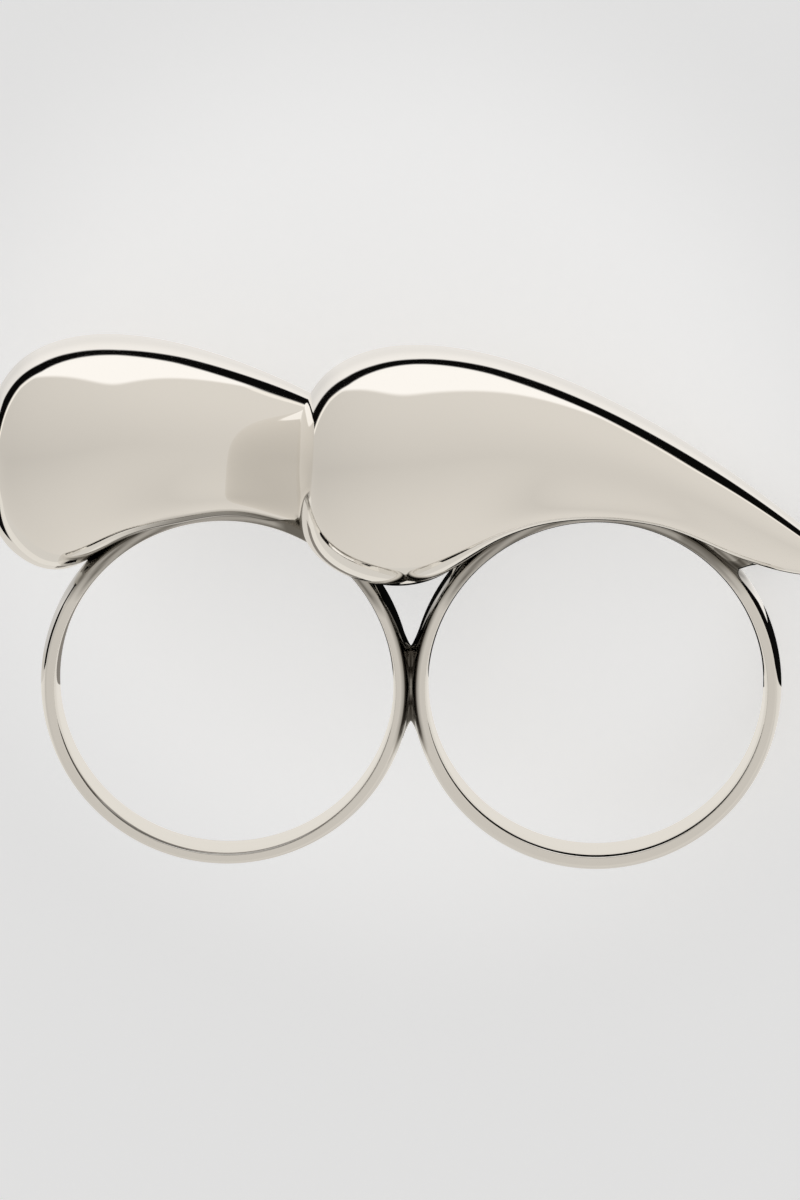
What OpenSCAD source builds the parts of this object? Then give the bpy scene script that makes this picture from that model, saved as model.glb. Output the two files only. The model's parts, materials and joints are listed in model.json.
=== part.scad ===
/* [Finger holes] */
// Diameter of each finger hole
finger_d = 17; // [16:0.25:18.5]

/* [Shanks] */
// Width of each shank along the finger
shank_w = 3.4; // [3:0.1:4]
// Thickness of each shank at the top of its dome
shank_t = 0.9; // [0.8:0.05:1.2]
// Height of the flat edge on each side of a shank
shank_edge = 0.5; // [0.4:0.05:0.6]
// Rounding where each flat edge meets the finger hole
edge_round = 0.14; // [0.1:0.02:0.2]

/* [Solder join] */
// How far the two shanks are sunk into each other where they touch
shank_sunk = 0.04; // [0.02:0.02:0.1]
// Radius of the solder fillets above and below the touching point
fillet_r = 0.24; // [0.16:0.02:0.4]
// Width of the solder along the finger
solder_w = 2.2; // [1.6:0.1:2.6]

/* [Drops] */
// Distance from the left finger hole's centre out to the left head's centre
left_head_out = 6.2; // [5.9:0.02:6.5]
// Distance from the right finger hole's centre back to the right head's centre
right_head_back = 9.23; // [8.9:0.02:9.5]
// Height of both heads' centres above the tops of the finger holes
head_rise = 3.12; // [2.9:0.02:3.3]
// How far the left drop is set back towards the hand
left_set_back = 1.6; // [1.4:0.1:1.8]
// How far the right drop is set forward towards the fingertips
right_set_forward = 1.8; // [1.6:0.1:2]

/* [Hidden] */

SILVER = [0.86, 0.85, 0.83];
$fn = 144;

// Columns of the drop rows
ALONG = 0;
TOP = 1;
LEFT_BELLY = 2;
RIGHT_BELLY = 3;
DEPTH = 4;

// Both drops from head to tail: the rows pull a smooth skin towards themselves.
// Each belly is hollowed to sit on its own shank. Sizes are for a 17 mm finger
// hole, measured from the centre of the head, and depth is half the thickness.
drop_rows = [
    // along, top, left belly, right belly, depth
    [-5.85, -0.6, -0.6, -0.6, 0],
    [-5.85, 2.45, -3.6, -3.4, 3.7],
    [-4.5, 4.75, -5.5, -5.25, 5.5],
    [-1.9, 5.9, -6.45, -6.25, 6.3],
    [1.1, 6, -5.9, -6.2, 6.1],
    [4.1, 5.45, -3.9, -3.75, 5.4],
    [7.1, 4.45, -3.9, -2.85, 4.5],
    [10.1, 3.1, -5.7, -2.75, 3.8],
    [13.1, 1.45, -6.1, -3.5, 3.1],
    [16.1, -0.5, -5.9, -5.2, 2.4],
    [19.1, -2.75, -5.65, -5.65, 1.7],
    [21.3, -4.6, -5.7, -5.7, 0.8],
    [22.1, -5.25, -5.25, -5.25, 0]
];
drop_rows_hole_d = 17;
stations_per_row = 5;
points_around = 40;

// Sizes worked out from the driving dimensions
finger_r = finger_d / 2;
edge_r = finger_r + shank_edge;
outer_r = finger_r + shank_t;
half_w = shank_w / 2;
hole_x = outer_r - shank_sunk / 2;
cut_length = 40;
drop_scale = finger_d / drop_rows_hole_d;
head_y = finger_r + drop_scale * head_rise;
left_head = [-hole_x - drop_scale * left_head_out, head_y, -left_set_back];
right_head = [hole_x - drop_scale * right_head_back, head_y, right_set_forward];

// Section of a shank as radius and height, from inside the hole over the dome
edge_steps = 4;
dome_steps = 8;
inside_hole = [finger_r - 2 * edge_round, half_w - 3 * edge_round];
rounded_edge = [for (i = [1:edge_steps]) let (a = 90 * i / edge_steps)
    [finger_r + edge_round * (1 - cos(a)), half_w - edge_round * (1 - sin(a))]];
half_dome = [for (i = [0:dome_steps]) let (a = 90 * i / dome_steps)
    [edge_r + (shank_t - shank_edge) * sin(a), half_w * cos(a)]];
half_section = concat([inside_hole], rounded_edge, half_dome);
shank_section = concat(half_section,
    [for (i = [len(half_section) - 2:-1:0]) [half_section[i].x, -half_section[i].y]]);

// Centre height of the solder fillets, which touch both shanks, and the half
// thickness that carries the solder past the touching points into both shanks
fillet_y = sqrt(pow(outer_r + fillet_r, 2) - pow(hole_x, 2));
solder_half_x = hole_x * fillet_r / (outer_r + fillet_r) + fillet_r / 2;

// One drop's section from a row: along, top, belly and depth
function section(row, belly) = [row[ALONG], row[TOP], row[belly], row[DEPTH]];

// The section turned over, which rounds the skin off at each end of the drop
function turned(s) = [s[0], s[2], s[1], -s[3]];
function with_round_ends(s) = concat([turned(s[1])], s, [turned(s[len(s) - 2])]);

// Cubic blend of four neighbouring sections at station t
function blend(s, t) =
    let (i = min(floor(t), len(s) - 4), u = t - i)
    (pow(1 - u, 3) * s[i] + (3 * pow(u, 3) - 6 * pow(u, 2) + 4) * s[i + 1]
        + (3 * u + 3 * pow(u, 2) - 3 * pow(u, 3) + 1) * s[i + 2] + pow(u, 3) * s[i + 3]) / 6;

// Stations of one drop's skin, end points included
function stations(belly) =
    let (s = with_round_ends([for (row = drop_rows) section(row, belly)]))
    [for (k = [0:(len(drop_rows) - 1) * stations_per_row]) blend(s, k / stations_per_row)];

// Point at angle a round a station's oval
function oval_point(s, a) =
    [s[0], (s[1] + s[2]) / 2 + (s[1] - s[2]) / 2 * cos(a), s[3] * sin(a)];

// Skin points of a drop: the head's pole, the ovals in turn, and the tail's pole
function drop_points(head, belly) =
    let (s = stations(belly), last = len(s) - 1)
    [for (p = concat([oval_point(s[0], 0)],
        [for (k = [1:last - 1], j = [0:points_around - 1])
            oval_point(s[k], 360 * j / points_around)],
        [oval_point(s[last], 0)])) head + drop_scale * p];

// Triangles of that skin
function drop_faces(ovals, n) =
    let (tail = ovals * n + 1)
    concat([for (j = [0:n - 1]) [0, 1 + j, 1 + (j + 1) % n]],
        [for (k = [0:ovals - 2], j = [0:n - 1])
            let (a = 1 + k * n + j, b = 1 + k * n + (j + 1) % n)
            each [[a, a + n, b], [b, a + n, b + n]]],
        [for (j = [0:n - 1])
            [tail, tail - n + (j + 1) % n, tail - n + j]]);

left_points = drop_points(left_head, LEFT_BELLY);
right_points = drop_points(right_head, RIGHT_BELLY);
ovals = (len(drop_rows) - 1) * stations_per_row - 1;

// The ring lies on its back on both heads and on the right shank's edge. It
// rolls until the heads are level, and leans until the shank touches too.
rest_roll = atan2(right_head.z - left_head.z, right_head.x - left_head.x);
function world_x() = [cos(rest_roll), 0, sin(rest_roll)];
function world_y(lean) =
    [sin(lean) * sin(rest_roll), cos(lean), -sin(lean) * cos(rest_roll)];
function world_z(lean) =
    [-cos(lean) * sin(rest_roll), sin(lean), cos(lean) * cos(rest_roll)];

// How far the drops and the shanks reach in direction u
function drop_reach(u) = max([for (p = concat(left_points, right_points)) p * u]);
function shank_reach(u) = max([for (x = [-hole_x, hole_x], q = shank_section)
    x * u.x + q.x * norm([u.x, u.y]) + q.y * u.z]);
function reach(u) = max(drop_reach(u), shank_reach(u));

lean_limits = [-15, 5];
halvings = 16;
function level_lean(low, high, rounds) =
    let (mid = (low + high) / 2, down = -world_z(mid))
    rounds == 0 ? mid :
    drop_reach(down) > shank_reach(down) ? level_lean(mid, high, rounds - 1) :
    level_lean(low, mid, rounds - 1);
rest_lean = level_lean(lean_limits[0], lean_limits[1], halvings);

function middle(u) = (reach(u) - reach(-u)) / 2;
rest_shift = [-middle(world_x()), -middle(world_y(rest_lean)), reach(-world_z(rest_lean))];

module shank(x) {
    color(SILVER)
        translate([x, 0, 0])
            rotate_extrude()
                polygon(shank_section);
}

// Solder between the shanks, with a hollow fillet above and below
module solder_join() {
    color(SILVER)
        linear_extrude(solder_w, center = true)
            difference() {
                square([2 * solder_half_x, 2 * fillet_y], center = true);
                for (y = [-fillet_y, fillet_y])
                    translate([0, y])
                        circle(fillet_r);
            }
}

module drop(points) {
    color(SILVER)
        polyhedron(points, drop_faces(ovals, points_around));
}

module finger_holes() {
    for (x = [-hole_x, hole_x])
        translate([x, 0, 0])
            cylinder(h = cut_length, r = finger_r, center = true);
}

// Everything is soldered into one piece of silver
module two_finger_ring() {
    color(SILVER)
        translate(rest_shift)
            rotate([rest_lean, 0, 0])
                rotate([0, rest_roll, 0])
                    difference() {
                        union() {
                            shank(-hole_x);
                            shank(hole_x);
                            solder_join();
                            drop(left_points);
                            drop(right_points);
                        }
                        finger_holes();
                    }
}

two_finger_ring();
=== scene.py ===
import json
import math
import bpy
import numpy as np
from mathutils import Matrix, Vector
from mathutils.bvhtree import BVHTree
from mathutils.interpolate import poly_3d_calc


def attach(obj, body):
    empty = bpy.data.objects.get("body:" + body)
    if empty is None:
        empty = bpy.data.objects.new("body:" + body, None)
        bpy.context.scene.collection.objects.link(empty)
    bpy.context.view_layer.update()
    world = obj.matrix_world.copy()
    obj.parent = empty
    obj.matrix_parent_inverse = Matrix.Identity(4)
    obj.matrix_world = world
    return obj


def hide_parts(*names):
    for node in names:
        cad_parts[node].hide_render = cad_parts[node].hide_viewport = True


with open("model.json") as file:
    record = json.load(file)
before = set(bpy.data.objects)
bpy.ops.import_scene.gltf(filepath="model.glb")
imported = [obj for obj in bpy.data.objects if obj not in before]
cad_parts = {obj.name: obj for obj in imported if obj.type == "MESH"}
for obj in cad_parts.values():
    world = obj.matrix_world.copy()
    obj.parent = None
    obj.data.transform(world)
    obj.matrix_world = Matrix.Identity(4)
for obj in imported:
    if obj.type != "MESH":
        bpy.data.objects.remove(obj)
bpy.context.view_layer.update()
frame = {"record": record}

# The ring's own axes: X from the left finger hole to the right one, Z along the
# fingers, Y from the palm side to the drops. Ring sizes are in millimetres.
MM = 0.001
mounts = {m["name"]: m for m in frame["record"]["mounts"]}
left_hole = mounts["left_finger_hole"]
right_hole = mounts["right_finger_hole"]
left_centre = Vector(left_hole["pos_m"])
right_centre = Vector(right_hole["pos_m"])
ring_x = (right_centre - left_centre).normalized()
ring_y = Vector(left_hole["axis"]).cross(ring_x).normalized()
ring_z = ring_x.cross(ring_y)
ring_origin = (left_centre + right_centre) / 2
hole_x = (right_centre - left_centre).length / 2 / MM
finger_r = left_hole["dims"]["r_mm"]
ring_turn = Matrix((ring_x, ring_y, ring_z)).transposed()
ring_to_world = Matrix.Translation(ring_origin) @ ring_turn.to_4x4() @ Matrix.Scale(MM, 4)
world_to_ring = ring_to_world.inverted()

# Sizes that part.scad also has, in millimetres
shank_w = 3.4
shank_t = 0.9
shank_edge = 0.5
left_head_out = 6.2
right_head_back = 9.23
head_rise = 3.12
left_set_back = 1.6
right_set_forward = 1.8
outer_r = finger_r + shank_t
edge_r = finger_r + shank_edge
dome = shank_t - shank_edge
half_w = shank_w / 2
head_y = finger_r + head_rise
left_head = (-hole_x - left_head_out, head_y, -left_set_back)
right_head = (hole_x - right_head_back, head_y, right_set_forward)

# Rounding inside the finger holes, outwards and along the finger. It is larger than
# in part.scad, because it carries the dark line round the holes.
edge_round = 0.19
edge_deep = 1.1

# Columns of the drop rows. Fullness squares off the lower half of a drop, and the
# front of the left drop's tail sinks back towards the right head.
ALONG, TOP, LEFT_BELLY, RIGHT_BELLY, DEPTH, LEFT_FULL, RIGHT_FULL, SINK = range(8)
drop_rows = [
    # along, top, left belly, right belly, depth, left fullness, right fullness, sink
    (-5.85, -0.6, -0.6, -0.6, 0, 0, 0, 0),
    (-5.85, 2.45, -3.6, -3.4, 3.7, 0, 0, 0),
    (-4.5, 4.75, -5.5, -5.25, 5.5, 0, 0, 0),
    (-1.9, 5.9, -6.5, -6.25, 6.3, 0.3, 0, 0),
    (1.1, 6, -4, -6.2, 6.1, 0.9, 0, 0),
    (4.1, 5.45, -3.3, -3.62, 5.4, 1.6, 0.8, 0.1),
    (7.1, 4.45, -2.72, -2.44, 4.5, 1.6, 1.8, 0.55),
    (10.1, 3.1, -4.3, -2.46, 3.8, 1.2, 1.8, 1.35),
    (13.1, 1.45, -3.7, -2.97, 3.1, 0.5, 1.6, 1.3),
    (16.1, -0.5, -5.9, -4.74, 2.4, 0, 0.8, 0.7),
    (19.1, -2.75, -5.65, -5.65, 1.7, 0, 0.2, 0),
    (21.3, -4.6, -5.7, -5.7, 0.8, 0, 0, 0),
    (22.1, -5.25, -5.25, -5.25, 0, 0, 0, 0),
]
FULL_POWER = 6
FRONT_BLEND = 0.5
STATIONS_PER_ROW = 16
POINTS_AROUND = 160


def clamp(value):
    return max(0.0, min(1.0, value))


def turned(row):
    """The row turned over, which rounds the skin off at an end of the drop."""
    along, top, bottom, depth = row[:4]
    return along, bottom, top, -depth, 0, 0


def stations(belly, full, sinks):
    """Cubic blend of a drop's rows at each station, and how it changes along the drop."""
    rows = np.array([(r[ALONG], r[TOP], r[belly], r[DEPTH], r[full], sinks * r[SINK])
                     for r in drop_rows], float)
    rows = np.vstack([turned(rows[1]), rows, turned(rows[-2])])
    spans = len(drop_rows) - 1
    t = np.arange(spans * STATIONS_PER_ROW + 1) / STATIONS_PER_ROW
    i = np.minimum(t.astype(int), spans - 1)
    u = t - i
    weights = ((1 - u) ** 3 / 6, (3 * u ** 3 - 6 * u ** 2 + 4) / 6,
               (3 * u + 3 * u ** 2 - 3 * u ** 3 + 1) / 6, u ** 3 / 6)
    slopes = (-(1 - u) ** 2 / 2, (3 * u ** 2 - 4 * u) / 2,
              (-3 * u ** 2 + 2 * u + 1) / 2, u ** 2 / 2)
    section = sum(w[:, None] * rows[i + k] for k, w in enumerate(weights))
    change = sum(w[:, None] * rows[i + k] for k, w in enumerate(slopes))
    return section.T[:, :, None], change.T[:, :, None]


def drop_faces(ovals):
    n = POINTS_AROUND
    tail = ovals * n + 1
    faces = [(0, 1 + (j + 1) % n, 1 + j) for j in range(n)]
    for k in range(ovals - 1):
        a = 1 + k * n
        faces += [(a + j, a + (j + 1) % n, a + n + (j + 1) % n, a + n + j) for j in range(n)]
    return faces + [(tail, tail - n + j, tail - n + (j + 1) % n) for j in range(n)]


def drop_skin(head, belly, full, sinks):
    """Points, outward normals and faces of a whole drop, head pole first and tail pole last."""
    section, change = stations(belly, full, sinks)
    along, top, bottom, depth, fullness, sunk = section
    along_d, top_d, bottom_d, depth_d, fullness_d, sunk_d = change
    middle, half = (top + bottom) / 2, (top - bottom) / 2
    middle_d, half_d = (top_d + bottom_d) / 2, (top_d - bottom_d) / 2
    angle = 2 * math.pi * np.arange(POINTS_AROUND) / POINTS_AROUND
    cos, sin = np.cos(angle), np.sin(angle)

    # The lower front swells by the fullness, with a soft gate at the sides
    low, front = (1 - cos) / 2, (1 + sin) / 2
    u = np.clip(sin / FRONT_BLEND, 0, 1)
    gate, gate_round = u * u * (3 - 2 * u), 6 * u * (1 - u) * cos / FRONT_BLEND
    lower_front = low ** FULL_POWER * gate
    lower_front_round = (FULL_POWER * low ** (FULL_POWER - 1) * sin / 2 * gate
                         + low ** FULL_POWER * gate_round)
    swell = 1 + fullness * lower_front
    swell_along = fullness_d * lower_front
    swell_round = fullness * lower_front_round

    # Each normal is square to the skin's two directions, along the drop and round it
    ones = np.ones_like(cos)
    points = np.stack([along * ones, middle + half * cos, depth * sin * swell - sunk * front], -1)
    lengthwise = np.stack([along_d * ones, middle_d + half_d * cos,
                           (depth_d * swell + depth * swell_along) * sin - sunk_d * front], -1)
    roundwise = np.stack([0 * along * ones, -half * sin,
                          depth * (cos * swell + sin * swell_round) - sunk * cos / 2], -1)
    normals = np.cross(roundwise, lengthwise)
    normals[1:-1] /= np.linalg.norm(normals[1:-1], axis=-1, keepdims=True)
    verts = np.vstack([points[0, :1], points[1:-1].reshape(-1, 3), points[-1, :1]]) + head
    outward = np.vstack([(-1, 0, 0), normals[1:-1].reshape(-1, 3), (1, 0, 0)])
    return verts, outward, drop_faces(len(points) - 2)


def new_object(name, verts, faces):
    mesh = bpy.data.meshes.new(name)
    mesh.from_pydata([tuple(v) for v in verts], [], faces)
    mesh.update()
    obj = bpy.data.objects.new(name, mesh)
    bpy.context.scene.collection.objects.link(obj)
    return obj


def set_normals(mesh, corner_normals):
    """Smooth shading with an exact normal at each face corner, given in ring axes."""
    mesh.polygons.foreach_set("use_smooth", [True] * len(mesh.polygons))
    turn = np.array(ring_turn)
    mesh.normals_split_custom_set((np.asarray(corner_normals) @ turn.T).tolist())
    mesh.update()


def corner_vertices(mesh):
    corners = np.zeros(len(mesh.loops), int)
    mesh.loops.foreach_get("vertex_index", corners)
    return corners


# Finger holes through the drops. Inside a shank a groove makes the hole wider, so
# the drop ends within the shank's metal and its wall doesn't lie on the shank's.
# A cut face that tilts less than WALL_TILT is the hole's wall.
CUT_STEPS = 720
CUT_REACH = 20
GROOVE_DEPTH = 0.2
GROOVE_INSIDE = 0.22
GROOVE_SLOPE = 0.07
WALL_TILT = 0.1
groove_z = half_w - GROOVE_INSIDE
wall_z = groove_z + GROOVE_SLOPE
cut_profile = [
    # radius, height along the finger
    (finger_r, -CUT_REACH), (finger_r, -wall_z), (finger_r + GROOVE_DEPTH, -groove_z),
    (finger_r + GROOVE_DEPTH, groove_z), (finger_r, wall_z), (finger_r, CUT_REACH),
]

# Materials that tell a drop's skin from its cut holes while it is made
marks = [bpy.data.materials.new(name) for name in ("skin mark", "cut mark")]


def finger_cutter(x):
    verts, faces = [], []
    for r, z in cut_profile:
        for j in range(CUT_STEPS):
            a = 2 * math.pi * (j + 0.5) / CUT_STEPS
            verts.append((x + r * math.cos(a), r * math.sin(a), z))
    for k in range(len(cut_profile) - 1):
        for j in range(CUT_STEPS):
            a, b = k * CUT_STEPS + j, k * CUT_STEPS + (j + 1) % CUT_STEPS
            faces.append((a, b, b + CUT_STEPS, a + CUT_STEPS))
    last = (len(cut_profile) - 1) * CUT_STEPS
    faces.append(tuple(range(CUT_STEPS - 1, -1, -1)))
    faces.append(tuple(last + j for j in range(CUT_STEPS)))
    cutter = new_object("finger_cutter", verts, faces)
    for mark in marks:
        cutter.data.materials.append(mark)
    for polygon in cutter.data.polygons:
        polygon.material_index = 1
    return cutter


def cut_finger_holes(obj):
    """Mesh of the object with both finger holes cut through it."""
    cutters = [finger_cutter(x) for x in (-hole_x, hole_x)]
    for cutter in cutters:
        cut = obj.modifiers.new("finger hole", "BOOLEAN")
        cut.operation = "DIFFERENCE"
        cut.solver = "EXACT"
        cut.object = cutter
    bpy.context.view_layer.update()
    evaluated = obj.evaluated_get(bpy.context.evaluated_depsgraph_get())
    mesh = bpy.data.meshes.new_from_object(evaluated)
    obj.modifiers.clear()
    for cutter in cutters:
        bpy.data.objects.remove(cutter)
    return mesh


def drop_normals(mesh, verts, outward, faces):
    """Exact normal at each face corner: the whole drop's skin, or the hole on its cuts."""
    tree = BVHTree.FromPolygons([tuple(v) for v in verts], faces)
    normals = np.zeros((len(mesh.vertices), 3))
    for v in mesh.vertices:
        place, _, face, _ = tree.find_nearest(v.co)
        shares = poly_3d_calc([Vector(verts[i]) for i in faces[face]], place)
        normal = sum(np.array(outward[i]) * w for i, w in zip(faces[face], shares))
        normals[v.index] = normal / np.linalg.norm(normal)
    corners = corner_vertices(mesh)
    corner_normals = normals[corners]
    for polygon in mesh.polygons:
        if polygon.material_index == 0:
            continue
        x = math.copysign(hole_x, polygon.center.x)
        on_wall = abs(polygon.normal.z) < WALL_TILT
        for loop in polygon.loop_indices:
            co = mesh.vertices[corners[loop]].co
            inward = Vector((x - co.x, -co.y, 0)).normalized()
            corner_normals[loop] = inward if on_wall else polygon.normal
    return corner_normals


def make_drop(name, head, belly, full, sinks):
    verts, outward, faces = drop_skin(head, belly, full, sinks)
    obj = new_object(name, verts, faces)
    whole = obj.data
    for mark in marks:
        whole.materials.append(mark)
    mesh = cut_finger_holes(obj)
    obj.data = mesh
    mesh.name = name
    corner_normals = drop_normals(mesh, verts, outward, faces)
    mesh.materials.clear()
    mesh.polygons.foreach_set("material_index", [0] * len(mesh.polygons))
    mesh.transform(ring_to_world)
    set_normals(mesh, corner_normals)
    bpy.data.meshes.remove(whole)
    return obj


# Shanks: one section turned round the hole, thinner or thicker at the palm side
SHANK_STEPS = 480
ROUND_STEPS = 14
DOME_STEPS = 28
WALL_STEPS = 6
EDGE_STEPS = 3
left_palm_change = -0.15
right_palm_change = 0.07


def shank_section():
    """Points as radius and height with their outward normals, once round the section."""
    half = []
    wall_top = half_w - edge_deep
    for i in range(WALL_STEPS):
        half.append((finger_r, wall_top * (i + 0.5) / WALL_STEPS, -1, 0))
    for i in range(ROUND_STEPS + 1):
        a = math.pi / 2 * i / ROUND_STEPS
        nr, nz = -math.cos(a) / edge_round, math.sin(a) / edge_deep
        size = math.hypot(nr, nz)
        half.append((finger_r + edge_round * (1 - math.cos(a)),
                     half_w - edge_deep * (1 - math.sin(a)), nr / size, nz / size))
    start = finger_r + edge_round
    flat = shank_edge - edge_round
    for i in range(1, EDGE_STEPS):
        half.append((start + flat * i / EDGE_STEPS, half_w, 0, 1))
    for i in range(DOME_STEPS):
        a = math.pi / 2 * i / DOME_STEPS
        nr, nz = math.sin(a) / dome, math.cos(a) / half_w
        size = math.hypot(nr, nz)
        half.append((edge_r + dome * math.sin(a), half_w * math.cos(a), nr / size, nz / size))
    crest = [(outer_r, 0, 1, 0)]
    below = [(r, -z, nr, -nz) for r, z, nr, nz in reversed(half)]
    return half + crest + below


def make_shank(name, x, palm_change):
    section = shank_section()
    n = len(section)
    verts, normals, faces = [], [], []
    for j in range(SHANK_STEPS):
        a = 2 * math.pi * j / SHANK_STEPS
        palm = max(0, -math.sin(a)) ** 2
        grow = 1 + palm_change * palm / shank_t
        for r, z, nr, nz in section:
            reach = finger_r + (r - finger_r) * grow
            verts.append((x + reach * math.cos(a), reach * math.sin(a), z))
            normals.append((nr * math.cos(a), nr * math.sin(a), nz))
    for j in range(SHANK_STEPS):
        a, b = j * n, (j + 1) % SHANK_STEPS * n
        faces += [(a + i, a + (i + 1) % n, b + (i + 1) % n, b + i) for i in range(n)]
    obj = new_object(name, verts, faces)
    mesh = obj.data
    corners = corner_vertices(mesh)
    mesh.transform(ring_to_world)
    set_normals(mesh, np.array(normals)[corners])
    return obj


# Skin of both pieces of solder: sections along the finger, and steps along their lines
SOLDER_STEPS = 40
LINE_STEPS = 20
SHARP_DEG = 35
solder_buried = 0.06


def skin_sections(name, sections):
    """Skin over sections of the same number of points, closed at both ends."""
    n, last = len(sections[0]), len(sections) - 1
    verts = [p for s in sections for p in s]
    faces = []
    for k in range(last):
        a, b = k * n, (k + 1) * n
        faces += [(a + i, b + i, b + (i + 1) % n, a + (i + 1) % n) for i in range(n)]
    faces.append(tuple(range(n)))
    faces.append(tuple(last * n + i for i in reversed(range(n))))
    obj = new_object(name, verts, faces)
    mesh = obj.data
    mesh.transform(ring_to_world)
    mesh.polygons.foreach_set("use_smooth", [True] * len(mesh.polygons))
    mesh.set_sharp_from_angle(angle=math.radians(SHARP_DEG))
    return obj


def dome_r(z):
    """Radius of a shank's dome at height z along the finger."""
    return edge_r + dome * math.sqrt(1 - (z / half_w) ** 2)


# Solder between the shanks, pointed above and below, and lower towards the edges
WEDGE_POWER = 1.25
WEDGE_LEAST_SHARE = 0.02
solder_reach = 1.95
solder_climb = 0.9
solder_half_w = 0.95


def solder_wedge(z, h, climb):
    """Line across the groove from one shank to the other, at its lowest h from the middle."""
    touch_x = hole_x - math.sqrt(dome_r(z) ** 2 - (h + climb) ** 2)
    line = []
    for i in range(LINE_STEPS + 1):
        b = 2 * i / LINE_STEPS - 1
        line.append((touch_x * b, h + climb * abs(b) ** WEDGE_POWER))
    side, low = touch_x + solder_buried, h + climb - solder_buried
    return [(-side, low)] + line + [(side, low)]


def make_solder(name):
    sections = []
    for k in range(SOLDER_STEPS + 1):
        a = math.pi * k / SOLDER_STEPS
        z = -solder_half_w * math.cos(a)
        share = max(math.sin(a), WEDGE_LEAST_SHARE)
        line = solder_wedge(z, solder_reach * share, solder_climb * share)
        sections.append([(x, y, z) for x, y in line] + [(x, -y, z) for x, y in reversed(line)])
    return skin_sections(name, sections)


# Solder in the corner under the right tail, from the right hole's centre. The turns
# are in degrees, and the corner is where the tail leaves the shank.
TAIL_ROOT_TURN = 60
TAIL_CORNER_TURN = 52
TAIL_END_TURN = 39.8
TAIL_CORNER = (5.7, 7.4)
TAIL_END = (8.7, 6.2)
TAIL_INSIDE = (0.25, 0.8)
TAIL_HOLLOW = 0.12
TAIL_LEAST_SHARE = 0.1
TAIL_END_BURIED = 0.018
tail_solder_middle = 0.3
tail_solder_half = 1.0


def make_tail_solder(name):
    sections = []
    for k in range(SOLDER_STEPS + 1):
        a = math.pi * k / SOLDER_STEPS
        share = TAIL_LEAST_SHARE + (1 - TAIL_LEAST_SHARE) * math.sin(a)
        z = tail_solder_middle - tail_solder_half * math.cos(a)
        last = TAIL_CORNER_TURN - (TAIL_CORNER_TURN - TAIL_END_TURN) * share
        outline = []
        for i in range(LINE_STEPS + 1):
            turn = math.radians(TAIL_ROOT_TURN + (last - TAIL_ROOT_TURN) * i / LINE_STEPS)
            r = dome_r(z) - (solder_buried if i < LINE_STEPS else TAIL_END_BURIED)
            outline.append((r * math.cos(turn), r * math.sin(turn)))
        near_x, near_y = outline[-1]
        far_x = TAIL_CORNER[0] + (TAIL_END[0] - TAIL_CORNER[0]) * share
        far_y = TAIL_CORNER[1] + (TAIL_END[1] - TAIL_CORNER[1]) * share
        for i in range(1, LINE_STEPS + 1):
            t = i / LINE_STEPS
            hollow = TAIL_HOLLOW * share * math.sin(math.pi * t)
            outline.append((near_x + (far_x - near_x) * t, near_y + (far_y - near_y) * t + hollow))
        outline.append((far_x + TAIL_INSIDE[0], far_y + TAIL_INSIDE[1]))
        outline.append((TAIL_CORNER[0] - TAIL_INSIDE[0], TAIL_CORNER[1] + TAIL_INSIDE[1]))
        sections.append([(hole_x + x, y, z) for x, y in outline])
    return skin_sections(name, sections)


class Nodes:
    """Adds nodes to a tree in the order in which they are used."""

    def __init__(self, tree):
        self.tree = tree
        tree.nodes.clear()

    def add(self, kind, inputs=None, **settings):
        node = self.tree.nodes.new(kind)
        for name, value in settings.items():
            setattr(node, name, value)
        for name, value in (inputs or {}).items():
            self.feed(node.inputs[name], value)
        return node

    def feed(self, socket, value):
        if isinstance(value, bpy.types.NodeSocket):
            self.tree.links.new(value, socket)
        else:
            socket.default_value = value

    def math(self, operation, *values):
        node = self.add("ShaderNodeMath", operation=operation)
        for socket, value in zip(node.inputs, values):
            self.feed(socket, value)
        return node.outputs[0]

    def step(self, value, low, high, before=0.0, after=1.0):
        """Smooth change from one value or socket to another between low and high."""
        node = self.add("ShaderNodeMapRange", {
            "Value": value, "From Min": low, "From Max": high,
            "To Min": before, "To Max": after}, interpolation_type="SMOOTHSTEP")
        return node.outputs["Result"]

    def mix(self, share, first, second):
        node = self.add("ShaderNodeMixShader")
        for socket, value in zip(node.inputs, (share, first.outputs[0], second.outputs[0])):
            self.feed(socket, value)
        return node

    def show(self, output, shader):
        self.feed(self.add(output).inputs["Surface"], shader.outputs[0])

    def dot(self, vector, axis):
        node = self.add("ShaderNodeVectorMath", operation="DOT_PRODUCT")
        self.feed(node.inputs[0], vector)
        node.inputs[1].default_value = axis
        return node.outputs["Value"]

    def curve(self, value, points, tall):
        """Value in degrees from -180 to 180 to a height from 0 to tall, by straight lines."""
        share = self.math("MULTIPLY_ADD", value, 1 / 360, 0.5)
        node = self.add("ShaderNodeFloatCurve", {"Value": share})
        line = node.mapping.curves[0]
        for i, (x, y) in enumerate(points):
            place = (x / 360 + 0.5, y / tall)
            if i < 2:
                line.points[i].location = place
            else:
                line.points.new(*place)
        for point in line.points:
            point.handle_type = "VECTOR"
        node.mapping.update()
        return self.math("MULTIPLY", node.outputs[0], tall)


# Camera: where it looks from and how, in the ring's axes and millimetres
CAMERA_UP_DEG = 10.5
CAMERA_YAW_DEG = 1.26
CAMERA_FAR = 340
CAMERA_AIM = (-0.557, 4.29, 0)
CAMERA_LENS = 302.2
SENSOR = 36
up_angle = math.radians(CAMERA_UP_DEG)
yaw_angle = math.radians(CAMERA_YAW_DEG)
to_camera = Vector((math.sin(yaw_angle) * math.cos(up_angle), math.sin(up_angle),
                    math.cos(yaw_angle) * math.cos(up_angle)))
camera_right = Vector((math.cos(yaw_angle), 0, -math.sin(yaw_angle)))
camera_up = to_camera.cross(camera_right)

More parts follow.
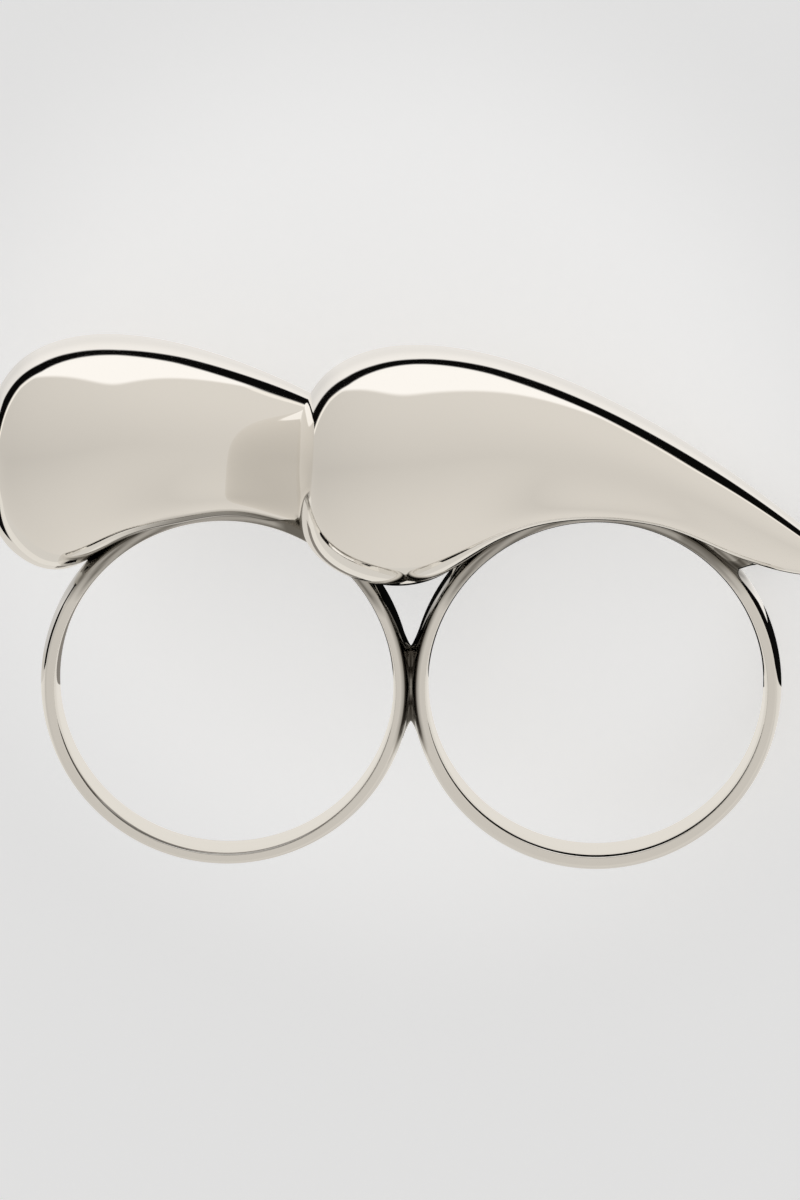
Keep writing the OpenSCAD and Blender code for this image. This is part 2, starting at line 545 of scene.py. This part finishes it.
camera_data = bpy.data.cameras.new("camera")
camera_data.lens = CAMERA_LENS
camera_data.sensor_width = SENSOR
camera_data.sensor_fit = "HORIZONTAL"
camera_data.clip_start = 0.01
camera_data.clip_end = 20
camera = bpy.data.objects.new("camera", camera_data)
bpy.context.scene.collection.objects.link(camera)
bpy.context.scene.camera = camera
world_right = ring_turn @ camera_right
world_up = ring_turn @ camera_up
world_back = ring_turn @ to_camera
camera_turn = Matrix((world_right, world_up, world_back)).transposed().to_4x4()
camera_place = ring_to_world @ (Vector(CAMERA_AIM) + CAMERA_FAR * to_camera)
camera.matrix_world = Matrix.Translation(camera_place) @ camera_turn

# Studio that the silver mirrors, by direction: bearing 0 is the photo's right and
# 90 its top, and turn is the angle from the camera's side, both in degrees. A
# half width below the soft edge's means that there is no band.
BEARING, BAND, BAND_HALF, BEYOND = range(4)
studio_rows = [
    # bearing, black band's middle, its half width, brightness beyond it
    (-180, 124, -4, 0.64),
    (-90, 124, -4, 0.70),
    (-8, 121, -4, 0.66),
    (-4, 121, -4, 0.75),
    (-2, 121, 27, 0.8),
    (24, 120, 27, 0.84),
    (32, 111, 18, 0.8),
    (40, 107, 12.5, 0.77),
    (47, 109, 12.3, 0.77),
    (60, 117, 8.5, 0.78),
    (75, 120, 6.5, 0.8),
    (90, 117.5, 4.7, 0.8),
    (105, 115.5, 5.5, 0.8),
    (120, 115, 7, 0.8),
    (135, 120.5, 7, 0.7),
    (150, 124, 9, 0.68),
    (162, 123, 7.5, 0.62),
    (172, 122, 4, 0.58),
    (177, 122, -4, 0.58),
    (180, 122, -4, 0.62),
]

# Soft edges in degrees, from and to. Half widths go through their curve shifted up,
# because it holds nothing below 0.
WIDTH_SHIFT = 10
WIDTH_TALL = 100
BAND_EDGE = (-1.5, 1.5)
BAND_THERE = (0.0, 3.0)
BESIDE_BAND = (3.0, 5.5)
GLOW_BESIDE = (3.0, 22.0)
BEHIND_BAND = (-2.0, 2.0)
BEHIND_OPEN = (-60.0, 30.0)
DIFFUSER_TOP = 91
DIFFUSER_FROM = 57
DIFFUSER_BOW = 1.4
DIFFUSER_ROUND = 10
DIFFUSER_SOFT = 3

# Brightness, the tint of white light, and how warm light differs from it
ROOM_LIGHT = 0.605
ROOM_UP = 0.09
ROOM_RIGHT = 0.055
BESIDE_LIGHT = 0.92
BACKDROP_GLOW = 0.1
BAND_LIGHT = 0.003
TINT_RED = 1.048
TINT_GREEN = 1.016
TINT_BLUE = 0.972
WARM_GREEN = -0.022
WARM_BLUE = -0.06
ROOM_ON_FLOOR = 0.42
BACKGROUND = (0.8, 0.8, 0.8, 1)


def studio_light(g):
    """Brightness and warmth of the studio in each direction."""
    direction = g.add("ShaderNodeTexCoord").outputs["Generated"]
    right = g.dot(direction, world_right)
    up = g.dot(direction, world_up)
    front = g.dot(direction, world_back)
    turn = g.math("DEGREES", g.math("ARCCOSINE", front))
    bearing = g.math("DEGREES", g.math("ARCTAN2", up, right))
    band = g.curve(bearing, [(r[BEARING], r[BAND]) for r in studio_rows], 180)
    widths = [(r[BEARING], r[BAND_HALF] + WIDTH_SHIFT) for r in studio_rows]
    band_half = g.math("SUBTRACT", g.curve(bearing, widths, WIDTH_TALL), WIDTH_SHIFT)
    beyond = g.curve(bearing, [(r[BEARING], r[BEYOND]) for r in studio_rows], 1)

    # Soft room light, brighter above and below and to the right
    room = g.math("MULTIPLY_ADD", g.math("ABSOLUTE", up), ROOM_UP, ROOM_LIGHT)
    room = g.math("MULTIPLY_ADD", right, ROOM_RIGHT, room)
    # White diffuser overhead with a bowed lower edge, and white along the band
    off_top = g.math("SUBTRACT", bearing, DIFFUSER_TOP)
    bow = g.math("SQRT", g.math("MULTIPLY_ADD", off_top, off_top, DIFFUSER_ROUND ** 2))
    diffuser_from = g.math("MULTIPLY_ADD", bow, DIFFUSER_BOW, DIFFUSER_FROM)
    low = g.math("SUBTRACT", diffuser_from, DIFFUSER_SOFT)
    high = g.math("ADD", diffuser_from, DIFFUSER_SOFT)
    light = g.step(turn, low, high, room, 1.0)
    warm = g.step(turn, low, high, 1.0, 0.0)
    past_band = g.math("SUBTRACT", turn, band)
    off_band = g.math("SUBTRACT", g.math("ABSOLUTE", past_band), band_half)
    has_band = g.step(band_half, *BAND_THERE)
    beside = g.math("MULTIPLY", g.step(off_band, *BESIDE_BAND, 1.0, 0.0), has_band)
    light = g.step(beside, 0.0, 1.0, light, g.math("MAXIMUM", light, BESIDE_LIGHT))
    # Backdrop beyond the black band, brightest beside it
    near_band = g.math("MULTIPLY", g.step(off_band, *GLOW_BESIDE, BACKDROP_GLOW, 0.0), has_band)
    beyond = g.math("ADD", beyond, near_band)
    behind = g.step(past_band, *BEHIND_BAND)
    open_side = g.math("SUBTRACT", 1.0, has_band)
    fade = g.math("MULTIPLY", g.step(past_band, *BEHIND_OPEN), open_side)
    behind = g.math("MULTIPLY_ADD", behind, has_band, fade)
    light = g.step(behind, 0.0, 1.0, light, beyond)
    warm = g.step(behind, 0.0, 1.0, warm, open_side)
    # Black band between the diffuser and the backdrop
    return g.step(off_band, *BAND_EDGE, BAND_LIGHT, light), warm


def build_world():
    """The silver mirrors the studio, the camera sees plain grey, the floor gets an even light."""
    world = bpy.data.worlds.new("studio")
    bpy.context.scene.world = world
    world.use_nodes = True
    g = Nodes(world.node_tree)
    light, warm = studio_light(g)
    red = g.math("MULTIPLY", light, TINT_RED)
    green = g.math("MULTIPLY", light, g.math("MULTIPLY_ADD", warm, WARM_GREEN, TINT_GREEN))
    blue = g.math("MULTIPLY", light, g.math("MULTIPLY_ADD", warm, WARM_BLUE, TINT_BLUE))
    path = g.add("ShaderNodeLightPath")
    tint = g.add("ShaderNodeCombineColor", {"Red": red, "Green": green, "Blue": blue})
    mirrored = g.add("ShaderNodeBackground", {"Color": tint.outputs[0], "Strength": 1.0})
    plain = g.add("ShaderNodeBackground", {"Color": BACKGROUND, "Strength": 1.0})
    soft = g.add("ShaderNodeBackground", {"Color": (1, 1, 1, 1), "Strength": ROOM_ON_FLOOR})
    seen = g.mix(path.outputs["Is Camera Ray"], mirrored, plain)
    g.show("ShaderNodeOutputWorld", g.mix(path.outputs["Is Diffuse Ray"], seen, soft))


# Silver: faint smudges change its roughness, and faint waves its surface, in metres
SILVER = (0.93, 0.915, 0.89, 1)
# Dark colour of the painted shade, which also tints the shanks' wear
SHADE_AND_WEAR_COLOUR = (0.2, 0.19, 0.172, 1)
SMUDGE_SCALE = 260.0
SMUDGES = (0.3, 0.75)
ROUGHNESS = (0.035, 0.06)
WAVE_SCALE = 150.0
WAVE_HEIGHT = 0.00002


def new_material(name):
    material = bpy.data.materials.new(name)
    material.use_nodes = True
    return material, Nodes(material.node_tree)


def silver_material():
    """Mirror polish, darkened by painted shade where the pieces carry it, and on the shanks by a
    little wear.
    """
    material, g = new_material("polished silver")
    place = g.add("ShaderNodeTexCoord").outputs["Object"]
    smudge = g.add("ShaderNodeTexNoise", {
        "Vector": place, "Scale": SMUDGE_SCALE, "Detail": 3.0, "Roughness": 0.55})
    rough = g.step(smudge.outputs[0], *SMUDGES, *ROUGHNESS)
    waves = g.add("ShaderNodeTexNoise", {
        "Vector": place, "Scale": WAVE_SCALE, "Detail": 0.0, "Roughness": 0.5})
    bump = g.add("ShaderNodeBump", {
        "Height": waves.outputs[0], "Strength": 1.0, "Distance": WAVE_HEIGHT})
    # This attribute carries painted shade, and on the shanks also a little wear
    patina = g.add("ShaderNodeAttribute", attribute_name="patina").outputs["Fac"]
    colour = g.add("ShaderNodeMix", {0: patina, 6: SILVER, 7: SHADE_AND_WEAR_COLOUR}, data_type="RGBA")
    shader = g.add("ShaderNodeBsdfPrincipled", {
        "Base Color": colour.outputs[2], "Metallic": 1.0, "Roughness": rough,
        "Normal": bump.outputs[0]})
    g.show("ShaderNodeOutputMaterial", shader)
    return material


# Painted shade, from 0 to 1, under and between the pieces where shade falls. It is full over this
# share of its reach, which is in millimetres.
FULL_SHARE = 0.4

# Painted shade under a drop and close to its shank, and low in the crevice between the drops
DROP_CLOSE = 0.7
DROP_FADE = 0.5
UNDER_FROM = 0.4
UNDER_FADE = 0.25
CREVICE_REACH = 0.28
CREVICE_TOP = 8.9
CREVICE_FADE = 0.8

# Painted shade on a shank near the drops and both pieces of solder, and on its dome where the
# other shank is close, above and below the join: full over half of these reaches
SHANK_REACH = 2.0
SOLDER_REACH = (0.45, 1.1)
JOIN_ABOVE = 3.2
JOIN_BELOW = 1.5
JOIN_SHADE = 0.9
DOME_BEFORE = 0.1
DOME_FADE = 0.2
# Wear: the shank a little darker outside the hole
WEAR_FROM = 0.05
SHANK_WEAR = 0.11

# Streaks in the painted shade: how fast their wave goes outwards, round the hole and along the
# finger
STREAKS_OUT = 17
STREAKS_ROUND = 7
STREAKS_ALONG = 2
STREAK_SWAY = 1.3
STREAK_SWAYS = 3
STREAK_LEAST = 0.55
# Painted shade on both pieces of solder, and how fast its streaks go
SOLDER_SHADE = 0.82
SOLDER_STREAKS_OUT = 19
SOLDER_STREAKS_ALONG = 3


def nearness(point, tree, reach):
    """From 1 close to the tree's surface down to 0 at the reach."""
    near = tree.find_nearest(point)[3] / MM
    return clamp((reach - near) / ((1 - FULL_SHARE) * reach))


def surface_tree(piece):
    return BVHTree.FromPolygons([v.co for v in piece.data.vertices],
                                [p.vertices for p in piece.data.polygons])


# Stores painted shade, and on the shanks a little wear, as the silver's darkening
def set_shade_and_wear(piece, values):
    layer = piece.data.attributes.new("patina", "FLOAT", "POINT")
    layer.data.foreach_set("value", values)


def drop_painted_shade(drop, x, other_tree):
    """Painted shade under the drop, over its own shank, and low down where the two drops meet."""
    values = []
    for v in drop.data.vertices:
        place = world_to_ring @ v.co
        out = math.hypot(place.x - x, place.y) - finger_r
        close = clamp((DROP_CLOSE + DROP_FADE - out) / DROP_FADE)
        under = clamp((-v.normal.dot(ring_y) - UNDER_FROM) / UNDER_FADE)
        low = clamp((CREVICE_TOP - place.y) / CREVICE_FADE)
        values.append(max(close * under, low * nearness(v.co, other_tree, CREVICE_REACH)))
    set_shade_and_wear(drop, values)


def shank_shade_and_wear(shank, x, drop_trees, solder_trees):
    """Painted shade under the drops, in streaks round the shank, and between the two shanks, with a
    little wear.
    """
    values = []
    for v in shank.data.vertices:
        place = world_to_ring @ v.co
        turn = math.atan2(place.y, place.x - x)
        out = math.hypot(place.x - x, place.y) - finger_r
        wave = (STREAKS_OUT * out + STREAKS_ROUND * turn
                + STREAK_SWAY * math.sin(STREAK_SWAYS * turn) + STREAKS_ALONG * place.z)
        streak = (0.5 + 0.5 * math.sin(wave)) ** 2
        under = [nearness(v.co, tree, SHANK_REACH) for tree in drop_trees]
        streaked = max(under) * (STREAK_LEAST + (1 - STREAK_LEAST) * streak)
        joined = max(nearness(v.co, tree, reach) for tree, reach in zip(solder_trees, SOLDER_REACH))
        gap = math.hypot(place.x + x, place.y) - outer_r
        gap_reach = JOIN_ABOVE if place.y > 0 else JOIN_BELOW
        on_dome = clamp((out - shank_edge + DOME_BEFORE) / DOME_FADE)
        between = JOIN_SHADE * on_dome * clamp(2 - 2 * gap / gap_reach)
        worn = SHANK_WEAR if out > WEAR_FROM else 0
        values.append(max(streaked, min(under), joined, between, worn))
    set_shade_and_wear(shank, values)


def solder_painted_shade(solder):
    """Painted shade of the crevices the solder fills: dark, in streaks round the right finger hole.
    """
    values = []
    for v in solder.data.vertices:
        place = world_to_ring @ v.co
        out = math.hypot(place.x - hole_x, place.y) - finger_r
        wave = SOLDER_STREAKS_OUT * out + SOLDER_STREAKS_ALONG * place.z
        values.append(SOLDER_SHADE + (1 - SOLDER_SHADE) * math.sin(wave))
    set_shade_and_wear(solder, values)


def glow_material(name, colour):
    material, g = new_material(name)
    glow = g.add("ShaderNodeEmission", {"Color": (*colour, 1), "Strength": 1.0})
    g.show("ShaderNodeOutputMaterial", glow)
    return material


# Cards behind the ring that only its reflections show, in the ring's axes and millimetres
CARD_Z = -9
CARD_LOW = -1.9
MIDDLE_LOW = -1.45
BLACK = (0.004, 0.004, 0.004)
PALE = (0.79, 0.755, 0.695)
BEIGE = (0.68, 0.65, 0.6)
SHADE = (0.24, 0.22, 0.195)
cards = [
    # name, colour, corners as x and y
    ("black_card_left", BLACK, [(-60, -1), (-27.5, -1), (-27.5, 8), (-40, 10), (-60, 10)]),
    ("black_card_middle", BLACK, [(-4, MIDDLE_LOW), (17, MIDDLE_LOW), (17, 3), (11, 10), (1, 10),
                                  (-4, 6)]),
    ("black_card_right", BLACK, [(17, CARD_LOW), (34.4, CARD_LOW), (33.8, 2.4), (26.1, 3.6),
                                 (19.8, 3.1), (17, 2.2)]),
    ("shade_card", SHADE, [(-19, CARD_LOW), (-4, CARD_LOW), (-4, 1), (-19, 1)]),
    ("pale_card", PALE, [(-60, -9), (60, -9), (60, CARD_LOW), (17, CARD_LOW),
                         (17, MIDDLE_LOW), (-4, MIDDLE_LOW), (-4, CARD_LOW), (-60, CARD_LOW)]),
    ("beige_card", BEIGE, [(-60, -40), (60, -40), (60, -9), (-60, -9)]),
]


def build_cards():
    for name, colour, corners in cards:
        places = [ring_to_world @ Vector((x, y, CARD_Z)) for x, y in corners]
        card = new_object(name, places, [tuple(range(len(places)))])
        card.data.materials.append(glow_material(name, colour))
        card.visible_camera = False
        card.visible_diffuse = False
        card.visible_shadow = False


# Floor, in metres: the middle of its painted pool of light, and from where to where it gets darker
PAINTED_POOL_MIDDLE = (-0.002, 0.005, 0.0)
FLOOR_FADE = (0.016, 0.03)
FLOOR_FAR_SHARE = 0.82
FLOOR_PAINTED_GLOW = 0.46
FLOOR_COLOUR = (0.86, 0.86, 0.86, 1)
FLOOR_HALF = 1.5


def floor_material():
    """Pale grey and evenly lit, mostly by a painted glow: a painted pool of light, a little darker
    away from the ring.
    """
    material, g = new_material("pale floor")
    place = g.add("ShaderNodeTexCoord").outputs["Object"]
    centre = g.add("ShaderNodeVectorMath", operation="DISTANCE")
    g.feed(centre.inputs[0], place)
    centre.inputs[1].default_value = PAINTED_POOL_MIDDLE
    share = g.step(centre.outputs["Value"], *FLOOR_FADE, 1.0, FLOOR_FAR_SHARE)
    level = g.math("MULTIPLY", share, FLOOR_PAINTED_GLOW)
    painted_pool = g.add("ShaderNodeCombineColor", {"Red": level, "Green": level, "Blue": level})
    shader = g.add("ShaderNodeBsdfDiffuse", {"Color": FLOOR_COLOUR})
    # The floor's glow is painted light, brightest by the ring
    glow = g.add("ShaderNodeEmission", {"Color": painted_pool.outputs[0], "Strength": 1.0})
    both = g.add("ShaderNodeAddShader")
    g.feed(both.inputs[0], shader.outputs[0])
    g.feed(both.inputs[1], glow.outputs[0])
    g.show("ShaderNodeOutputMaterial", both)
    return material


def build_floor():
    corners = [(-FLOOR_HALF, -FLOOR_HALF, 0), (FLOOR_HALF, -FLOOR_HALF, 0),
               (FLOOR_HALF, FLOOR_HALF, 0), (-FLOOR_HALF, FLOOR_HALF, 0)]
    floor = new_object("floor", corners, [(0, 1, 2, 3)])
    floor.data.materials.append(floor_material())
    floor.visible_glossy = False


pieces = [
    make_drop("left_drop", left_head, LEFT_BELLY, LEFT_FULL, sinks=True),
    make_drop("right_drop", right_head, RIGHT_BELLY, RIGHT_FULL, sinks=False),
    make_shank("left_shank", -hole_x, left_palm_change),
    make_shank("right_shank", hole_x, right_palm_change),
    make_solder("solder_join"),
    make_tail_solder("tail_solder"),
]
for mark in marks:
    bpy.data.materials.remove(mark)
drops, shanks, solders = pieces[:2], pieces[2:4], pieces[4:]
drop_trees = [surface_tree(drop) for drop in drops]
solder_trees = [surface_tree(solder) for solder in solders]
# Painted shade under the drops, between the shanks and on the solder, with a little wear on the
# shanks
for drop, shank, x, other in zip(drops, shanks, (-hole_x, hole_x), reversed(drop_trees)):
    drop_painted_shade(drop, x, other)
    shank_shade_and_wear(shank, x, drop_trees, solder_trees)
for solder in solders:
    solder_painted_shade(solder)
silver = silver_material()
for piece in pieces:
    piece.data.materials.clear()
    piece.data.materials.append(silver)
    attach(piece, "root")
    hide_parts("two_finger_ring")

build_world()
build_cards()
build_floor()
scene = bpy.context.scene
scene.view_settings.view_transform = "Standard"
scene.view_settings.look = "None"
